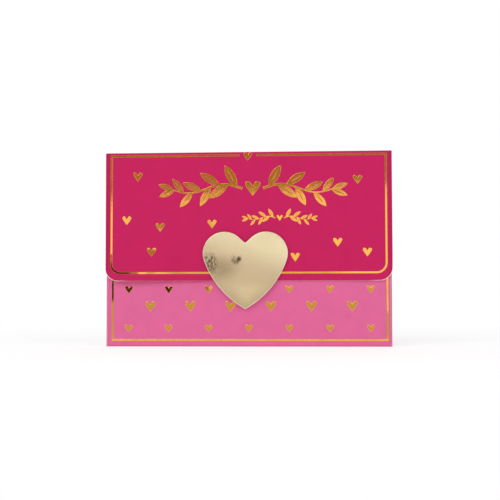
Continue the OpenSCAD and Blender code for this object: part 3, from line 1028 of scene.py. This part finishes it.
class BuildFoil(bpy.types.Operator):
    """Stamps the foil: border lines, hearts and the leaf garlands"""

    bl_idname = "pouch.foil"
    bl_label = "Stamped foil"

    def execute(self, context):
        p, c = context.scene.pouch_sizes, context.scene.pouch_colours
        gold = [stamped_foil("hot_stamped_foil_gold", list(c.gold))]
        rings = foil_rings(p.foil_t / MM, p.foil_round / MM)
        line_rings = foil_rings(p.foil_t / MM, p.foil_round / MM / 2)
        line, step = p.line_w / MM, 1.8
        pocket_y, flap_y = low("pocket_front").y, low("flap_panel").y

        def on_pocket(x, z, h):
            return x, pocket_y - h - pocket_lift(x, z), z

        def on_flap(x, z, h):
            return x, flap_y - h - flap_lift(x, z), z

        a, b = low("pocket_foil_border"), high("pocket_foil_border")
        outline = [(a.x, b.z), (a.x, a.z), (b.x, a.z), (b.x, b.z), (b.x - line, b.z),
                   (b.x - line, a.z + line), (a.x + line, a.z + line), (a.x + line, b.z)]
        border = plate("pocket_border_foil", [[wind(refine(outline, step))]], line_rings,
                       on_pocket, gold)
        settle(border, "pocket_foil_border", "pouch")

        hearts = [[wind(refine(foil_heart(w, x, z), step))] for w, x, z in self.pocket_hearts(p)]
        stamped = plate("pocket_heart_foil", hearts, rings, on_pocket, gold)
        settle(stamped, "pocket_foil_hearts", "pouch")

        a, b = low("flap_foil_border"), high("flap_foil_border")
        # The line is open for this far each side of the top heart, and round at the corners
        gap, r = 5, 6.35
        outer = ([(b.x, b.z), (gap, b.z)]
                 + [(gap, b.z - line), (b.x - line, b.z - line)]
                 + arc(b.x - r, a.z + r, r - line, 0, -90, 10)
                 + arc(a.x + r, a.z + r, r - line, -90, -180, 10)
                 + [(a.x + line, b.z - line), (-gap, b.z - line), (-gap, b.z), (a.x, b.z)]
                 + arc(a.x + r, a.z + r, r, 180, 270, 10)
                 + arc(b.x - r, a.z + r, r, -90, 0, 10))
        border = plate("flap_border_foil", [[wind(refine(outer, step))]], line_rings,
                       on_flap, gold)
        settle(border, "flap_foil_border", "flap")

        half, top = high("flap_panel").x, high("top_wall").z
        # Places of the hearts, as shares of half the width and of the flap's length
        shares = [(-0.773, 0.188), (-0.850, 0.530), (-0.614, 0.584), (-0.674, 0.776),
                  (-0.250, 0.561), (0.763, 0.222), (0.623, 0.706), (0.827, 0.783), (0.329, 0.819)]
        places = [(FLAP_HEART, across * half, top - down * FLAP_L) for across, down in shares]
        top_share, top_gap = 0.93, 0.25
        places.append((FLAP_HEART * top_share, 0, top - top_gap - 0.5 * FLAP_HEART * top_share))
        hearts = [[wind(refine(foil_heart(w, x, z), step))] for w, x, z in places]
        stamped = plate("flap_heart_foil", hearts, rings, on_flap, gold)
        settle(stamped, "flap_foil_hearts", "flap")

        made = []
        for k, across, down, slope in ((1, 0.035, 0.285, 0.1), (0.4, 0.222, 0.515, 0.05)):
            shapes = [[refine(loop, step) for loop in loops]
                      for loops in self.islands(garland(k, across * half, top - down * FLAP_L))]
            made.append(plate("flap_garland_foil", shapes, foil_rings(p.foil_t / MM, slope),
                              on_flap, gold))
        with context.temp_override(active_object=made[0], selected_editable_objects=made):
            bpy.ops.object.join()
        settle(made[0], "flap_foil_garland", "flap")
        return {"FINISHED"}

    @staticmethod
    def pocket_hearts(p):
        """Width and place of each heart on the pocket, clear of the dot and the thumb cut."""
        pitch, height = p.heart_pitch / MM, high("pocket_front").z
        dot = (low("loop_dot") + high("loop_dot")) / 2
        dot_w = 10
        # How far the large and the small rows lie to the right, and how far they reach
        large_x, small_x, reach = 1.6, 0.5, 78.2
        made = []
        for row, share in enumerate((0.117, 0.259, 0.368, 0.495, 0.620, 0.745, 0.860)):
            large, z = row % 2, share * height
            w = LARGE_HEART if large else SMALL_HEART
            for i in range(-4, 5):
                x = i * pitch + (large_x - pitch / 2 if large else small_x)
                by_dot = math.dist((x, z), (dot.x, dot.z)) < (dot_w + w) / 2
                by_thumb = (z > height - THUMB_D - LARGE_HEART / 2
                            and abs(x) < (THUMB_W + w) / 2)
                if abs(x) < reach and not by_dot and not by_thumb:
                    made.append((w, x, z))
        return made

    @staticmethod
    def islands(parts):
        """The garland's outlines, each outer one with the slits that lie in it."""
        loops = union(parts)
        outers = [loop for loop in loops if signed_area(loop) > 0]
        slits = [loop for loop in loops if signed_area(loop) < 0]
        return [[o] + [s for s in slits if inside([s[0]], [o])[0]] for o in outers]


class BuildBadge(bpy.types.Operator):
    """Makes the heart badge: card, mirror film and the foam pads behind it"""

    bl_idname = "pouch.badge"
    bl_label = "Heart badge"

    def execute(self, context):
        p, c = context.scene.pouch_sizes, context.scene.pouch_colours
        a, b = low("badge_board"), high("badge_board")
        x, t = (a.x + b.x) / 2, b.y - a.y
        width, height, notch, rim = b.x - a.x, 45.8, 0.9, 0.35
        outline = wind(shift(heart(width, height, BADGE_FORM, notch, 20), x, a.z))
        r, grid = p.card_round / MM, 3
        lattice = (span(a.x, b.x, grid), span(a.z, b.z, grid))
        card = plate("badge_card_board", [[outline]],
                     [(0.06, 0, 0, 0), (0, 0.06, 0), (0, t - r, 0),
                      (r * 0.25, t - r * 0.35, 0), (r, t, 0)],
                     lambda u, z, h: (u, b.y - h, z),
                     [fibre_board("badge_card_cut_edge", list(c.card), 0.05, 0.2)], lattice)
        settle(card, "badge_board", "flap")
        film_y, film_t = high("badge_mirror").y, high("badge_mirror").y - low("badge_mirror").y
        film = plate("badge_film", [[inset(outline, rim)]],
                     [(0, 0, 0, 0), (0, film_t - 0.08, 0), (0.05, film_t - 0.02, 0),
                      (0.13, film_t, 0)],
                     lambda u, z, h: (u, film_y - h, z),
                     [mirror_film("metallised_film_champagne", list(c.film))], lattice)
        settle(film, "badge_mirror", "flap")

        rear, pad_t, pad_w, pad_h = high("badge_pads").y, 1.0, 13, 6
        pads = []
        for across, up in ((-0.42, 0.72), (0.42, 0.72), (0, 0.57)):
            px, pz = x + across * width / 2, a.z + up * height
            box = square(px - pad_w / 2, pz - pad_h / 2, px + pad_w / 2, pz + pad_h / 2)
            pads.append([wind(refine(box, 1.0))])
        # Each pad bulges a little at half its thickness, and its rear half follows the flap
        foam = plate("badge_foam", pads,
                     [(0.1, 0, 0, 0), (0.02, 0.15, 0), (0, 0.5, 0), (0.02, 0.85, 0),
                      (0.1, pad_t, 0)],
                     lambda u, z, h: (u, rear - h - (flap_lift(u, z) if h < 0.5 else 0), z),
                     [cell_foam("closed_cell_foam_white", list(c.white))])
        settle(foam, "badge_pads", "flap")
        return {"FINISHED"}


class BuildDots(bpy.types.Operator):
    """Makes the hook dot on the badge's rear and the loop dot on the pocket"""

    bl_idname = "pouch.dots"
    bl_label = "Hook and loop dots"

    def execute(self, context):
        c = context.scene.pouch_colours
        nylon = [nylon_tape("woven_nylon_tape_white", list(c.white))]
        for name, node, body, toward in (("hook_tape", "hook_dot", "flap", 1),
                                         ("loop_tape", "loop_dot", "pouch", -1)):
            a, b = low(node), high(node)
            x, z, r = (a.x + b.x) / 2, (a.z + b.z) / 2, (b.x - a.x) / 2
            base_y, room = (a.y if toward > 0 else b.y), b.y - a.y
            strand = self.hook if toward > 0 else self.loop
            bm = bmesh.new()
            self.disc(bm, x, z, r, base_y, toward)
            draw = random.Random(11 if toward > 0 else 23)
            # Rows a little closer than the strands in them, clear of the tape's edge
            pitch, row_share, rim = 0.62, 0.87, 0.45
            for i in range(-9, 10):
                for j in range(-10, 11):
                    u, v = (i + (j % 2) / 2) * pitch, j * pitch * row_share
                    if math.hypot(u, v) <= r - rim:
                        strand(bm, x + u, z + v, base_y, room, draw)
            bmesh.ops.recalc_face_normals(bm, faces=bm.faces)
            settle(finish_mesh(name, bm, nylon), node, body)
        return {"FINISHED"}

    @staticmethod
    def disc(bm, x, z, r, base_y, toward):
        """Round tape of 0.3 mm with a soft edge."""
        rings, steps = [], 48
        for radius, height in ((r - 0.03, 0), (r, 0.06), (r, 0.22), (r - 0.08, 0.3),
                               (r / 2, 0.31)):
            rings.append([bm.verts.new(Vector((x + px, base_y + toward * height, z + pz)) * MM)
                          for px, pz in arc(0, 0, radius, 0, 360, steps)[:-1]])
        for under, over in zip(rings, rings[1:]):
            for i in range(steps):
                j = (i + 1) % steps
                bm.faces.new((under[i], under[j], over[j], over[i]))
        bm.faces.new(rings[0])
        bm.faces.new(rings[-1])

    @staticmethod
    def hook(bm, x, z, base_y, room, draw):
        """One moulded hook: a stem that turns over at its end."""
        turn = draw.uniform(-0.3, 0.3) + draw.choice((0, math.pi))
        root, crook, thick, tape = 0.25, 0.1, 0.045, 0.3
        stem = tape + (room - 0.42) * 0.5
        course = [(0, root), (0, stem)]
        course += [(crook - crook * math.cos(a), stem + crook * math.sin(a))
                   for a in (0.8, 1.6, 2.4, 3.1)]
        tube(bm, [(x + d * math.cos(turn), base_y + h, z + d * math.sin(turn)) for d, h in course],
             thick)

    @staticmethod
    def loop(bm, x, z, base_y, room, draw):
        """One filament loop that stands out of the tape."""
        turn, lean = draw.uniform(0, math.pi), draw.uniform(-0.12, 0.12)
        wide, tall = draw.uniform(0.16, 0.26), draw.uniform(0.6, 0.95) * (room - 0.4)
        root, steps, thick = 0.27, 8, 0.03
        course = []
        for i in range(steps + 1):
            a = math.pi * i / steps
            d, h = wide * math.cos(a), root + tall * math.sin(a)
            course.append((x + d * math.cos(turn) + lean * math.sin(a), base_y - h,
                           z + d * math.sin(turn)))
        tube(bm, course, thick, 4)


class BuildStage(bpy.types.Operator):
    """Sets the floor, the soft light, the reflection cards and the camera"""

    bl_idname = "pouch.stage"
    bl_label = "Stage"

    def execute(self, context):
        scene, light = context.scene, context.scene.pouch_stage
        scene.view_settings.view_transform = "Standard"
        self.sky(scene, light.sky)
        self.floor()
        self.cards()
        self.lamp("key_lamp", (-0.55, -0.95, 0.85), 0.9, light.key_power)
        self.lamp("fill_lamp", (0.9, -0.8, 0.55), 0.8, light.fill_power)
        self.camera(scene)
        return {"FINISHED"}

    @staticmethod
    def seen(tree):
        """Output that is 1 where the light path is a look, a mirror image or a look through."""
        path = add(tree, "ShaderNodeLightPath")
        made = add(tree, "ShaderNodeMath", {0: path.outputs["Is Camera Ray"],
                                            1: path.outputs["Is Glossy Ray"]},
                   operation="MAXIMUM")
        made = add(tree, "ShaderNodeMath", {0: made.outputs[0],
                                            1: path.outputs["Is Transmission Ray"]},
                   operation="MAXIMUM")
        return made.outputs[0]

    def sky(self, scene, strength):
        """White sky for what is seen or mirrored, at a plain level as a light."""
        world = bpy.data.worlds.new("white_studio")
        scene.world = world
        world.use_nodes = True
        tree = world.node_tree
        tree.nodes.clear()
        level = add(tree, "ShaderNodeMapRange", {0: self.seen(tree), 3: strength, 4: 1.0})
        shine = add(tree, "ShaderNodeBackground", {0: (1, 1, 1, 1), 1: level.outputs[0]})
        add(tree, "ShaderNodeOutputWorld", {0: shine.outputs[0]})

    def floor(self):
        """White floor: paper near the pouch, for its shadow, that glows to white further off."""
        bpy.ops.mesh.primitive_circle_add(vertices=96, radius=1.4, fill_type="NGON")
        floor = bpy.context.object
        floor.name = "floor"
        material, tree = new_material("seamless_paper_white")
        where = add(tree, "ShaderNodeTexCoord").outputs["Object"]
        away = add(tree, "ShaderNodeVectorMath", {0: where}, operation="LENGTH")
        far = add(tree, "ShaderNodeMapRange", {0: away.outputs["Value"], 1: 0.12, 2: 0.4, 3: 0.0,
                                               4: 1.0}, interpolation_type="SMOOTHSTEP")
        glow = add(tree, "ShaderNodeMath", {0: far.outputs[0], 1: self.seen(tree)},
                   operation="MULTIPLY")
        paper = add(tree, "ShaderNodeBsdfPrincipled", {
            "Base Color": (0.5, 0.5, 0.5, 1), "Roughness": 0.9, "Specular IOR Level": 0.1,
            "Emission Color": (1, 1, 1, 1), "Emission Strength": 0.6})
        white = add(tree, "ShaderNodeEmission", {0: (1, 1, 1, 1), 1: 1.0})
        both = add(tree, "ShaderNodeMixShader", {0: glow.outputs[0], 1: paper.outputs[0],
                                                 2: white.outputs[0]})
        add(tree, "ShaderNodeOutputMaterial", {0: both.outputs[0]})
        floor.data.materials.append(material)

    @staticmethod
    def cards():
        """Toned cards that only mirrors show, so that the foil changes from dark to bright:
        a wide one behind the camera, dim above and white at eye level, a dark strip before
        it that tilted foil finds, and low ones in front for the pocket and the badge."""
        material, tree = new_material("toned_reflection_card")
        place = add(tree, "ShaderNodeNewGeometry").outputs["Position"]
        apart = add(tree, "ShaderNodeSeparateXYZ", {0: place})
        slope = add(tree, "ShaderNodeMath", {0: apart.outputs[0], 1: -0.049, 2: apart.outputs[2]},
                    operation="MULTIPLY_ADD")
        edge = add(tree, "ShaderNodeMapRange", {0: slope.outputs[0], 1: 0.258, 2: 0.276, 3: 0.0,
                                                4: 1.0}, interpolation_type="SMOOTHSTEP")
        fade = add(tree, "ShaderNodeMapRange", {0: slope.outputs[0], 1: 0.28, 2: 0.34, 3: 0.0,
                                                4: 1.0}, interpolation_type="SMOOTHSTEP")
        dim = add(tree, "ShaderNodeMix", {0: fade.outputs[0], 6: (0.22, 0.13, 0.05, 1),
                                          7: (0.46, 0.31, 0.16, 1)}, data_type="RGBA")
        level = add(tree, "ShaderNodeMapRange", {0: apart.outputs[2], 1: 0.05, 2: 0.13, 3: 0.0,
                                                 4: 1.0}, interpolation_type="SMOOTHSTEP")
        bright = add(tree, "ShaderNodeMix", {0: level.outputs[0], 6: (0.62, 0.57, 0.49, 1),
                                             7: (1.1, 1.04, 1.06, 1)}, data_type="RGBA")
        tone = add(tree, "ShaderNodeMix", {0: edge.outputs[0], 6: bright.outputs[2],
                                           7: dim.outputs[2]}, data_type="RGBA")
        glow = add(tree, "ShaderNodeEmission", {0: tone.outputs[2], 1: 1.0})
        add(tree, "ShaderNodeOutputMaterial", {0: glow.outputs[0]})
        dark, grey, pale = (0.05, 0.02, 0.015, 1), (0.57, 0.545, 0.45, 1), (1, 0.97, 0.9, 1)
        for name, y, outline, tone in (
                ("reflection_card", -1.6, square(-2.5, -0.75, 2.5, 2.25), None),
                ("dark_card", -1.59, square(-1.8, 0.366, 1.0, 0.66), dark),
                ("low_card", -0.08, square(-0.45, 0, 0.45, 0.0353), grey),
                ("left_line_card", -0.079, [(-0.0983, 0.0265), (-0.077, 0.0265),
                                            (-0.077, 0.0455), (-0.103, 0.0455),
                                            (-0.103, 0.0345)], dark),
                ("right_line_card", -0.079, square(0.0885, 0.019, 0.1, 0.0455), pale),
                ("heart_card", -0.079, [(-0.0055, 0.0218), (0.0112, 0.0372), (-0.0208, 0.0372)],
                 pale)):
            if tone:
                material, tree = new_material(f"plain_{name}")
                glow = add(tree, "ShaderNodeEmission", {0: tone, 1: 1.0})
                add(tree, "ShaderNodeOutputMaterial", {0: glow.outputs[0]})
            mesh = bpy.data.meshes.new(name)
            mesh.from_pydata([(x, y, z) for x, z in outline], [], [list(range(len(outline)))])
            mesh.materials.append(material)
            card = bpy.data.objects.new(name, mesh)
            bpy.context.scene.collection.objects.link(card)
            card.visible_camera = card.visible_diffuse = card.visible_shadow = False
            card.visible_transmission = card.visible_volume_scatter = False

    @staticmethod
    def lamp(name, place, size, power):
        """Square softbox that looks at the middle of the pouch."""
        data = bpy.data.lights.new(name, "AREA")
        data.shape, data.size, data.energy = "SQUARE", size, power
        lamp = bpy.data.objects.new(name, data)
        lamp.location = place
        aim = Vector((0, 0, 0.06)) - Vector(place)
        lamp.rotation_euler = aim.to_track_quat("-Z", "Y").to_euler()
        bpy.context.scene.collection.objects.link(lamp)

    @staticmethod
    def camera(scene):
        """Camera a little right of the middle and low, as the photograph was taken."""
        # Fitted to the pouch's corners in the photograph, in radians, pixels and metres
        pan, tilt, roll, focal_px, frame_px = -0.0566, 0.04531, -0.00233, 918, 500
        place, sensor = (0.03213, -0.54822, 0.03257), 36
        ahead = Vector((math.sin(pan) * math.cos(tilt), math.cos(pan) * math.cos(tilt),
                        math.sin(tilt)))
        right = Vector((math.cos(pan), -math.sin(pan), 0))
        up = right.cross(ahead)
        across = right * math.cos(roll) + up * math.sin(roll)
        upright = up * math.cos(roll) - right * math.sin(roll)
        data = bpy.data.cameras.new("camera")
        data.sensor_width, data.lens = sensor, sensor * focal_px / frame_px
        data.clip_start = 0.01
        camera = bpy.data.objects.new("camera", data)
        turn = Matrix((across, upright, -ahead)).transposed().to_4x4()
        camera.matrix_world = Matrix.Translation(place) @ turn
        scene.collection.objects.link(camera)
        scene.camera = camera


OPERATORS = (BuildPocket, BuildBack, BuildFlap, BuildFoil, BuildBadge, BuildDots, BuildStage)


class PouchPanel(bpy.types.Panel):
    """Lists the pouch's sizes, colours and the steps that build it"""

    bl_idname = "VIEW3D_PT_gift_pouch"
    bl_label = "Gift pouch"
    bl_space_type = "VIEW_3D"
    bl_region_type = "UI"
    bl_category = "Gift pouch"

    def draw(self, context):
        for group in (context.scene.pouch_sizes, context.scene.pouch_colours,
                      context.scene.pouch_stage):
            box = self.layout.box()
            for key in type(group).__annotations__:
                box.prop(group, key)
        for operator in OPERATORS:
            self.layout.operator(operator.bl_idname)


CLASSES = (PouchSizes, PouchColours, PouchStage) + OPERATORS + (PouchPanel,)
GROUPS = {"pouch_sizes": PouchSizes, "pouch_colours": PouchColours, "pouch_stage": PouchStage}


def register():
    """Adds the classes, and the property groups to the scene."""
    for made in CLASSES:
        bpy.utils.register_class(made)
    for name, group in GROUPS.items():
        setattr(bpy.types.Scene, name, PointerProperty(type=group))


def unregister():
    """Takes the property groups and the classes away again."""
    for name in GROUPS:
        delattr(bpy.types.Scene, name)
    for made in reversed(CLASSES):
        bpy.utils.unregister_class(made)


def main():
    """Builds the pouch and its stage."""
    register()
    for operator in OPERATORS:
        group, step = operator.bl_idname.split(".")
        getattr(getattr(bpy.ops, group), step)()


if __name__ == "__main__":
    main()
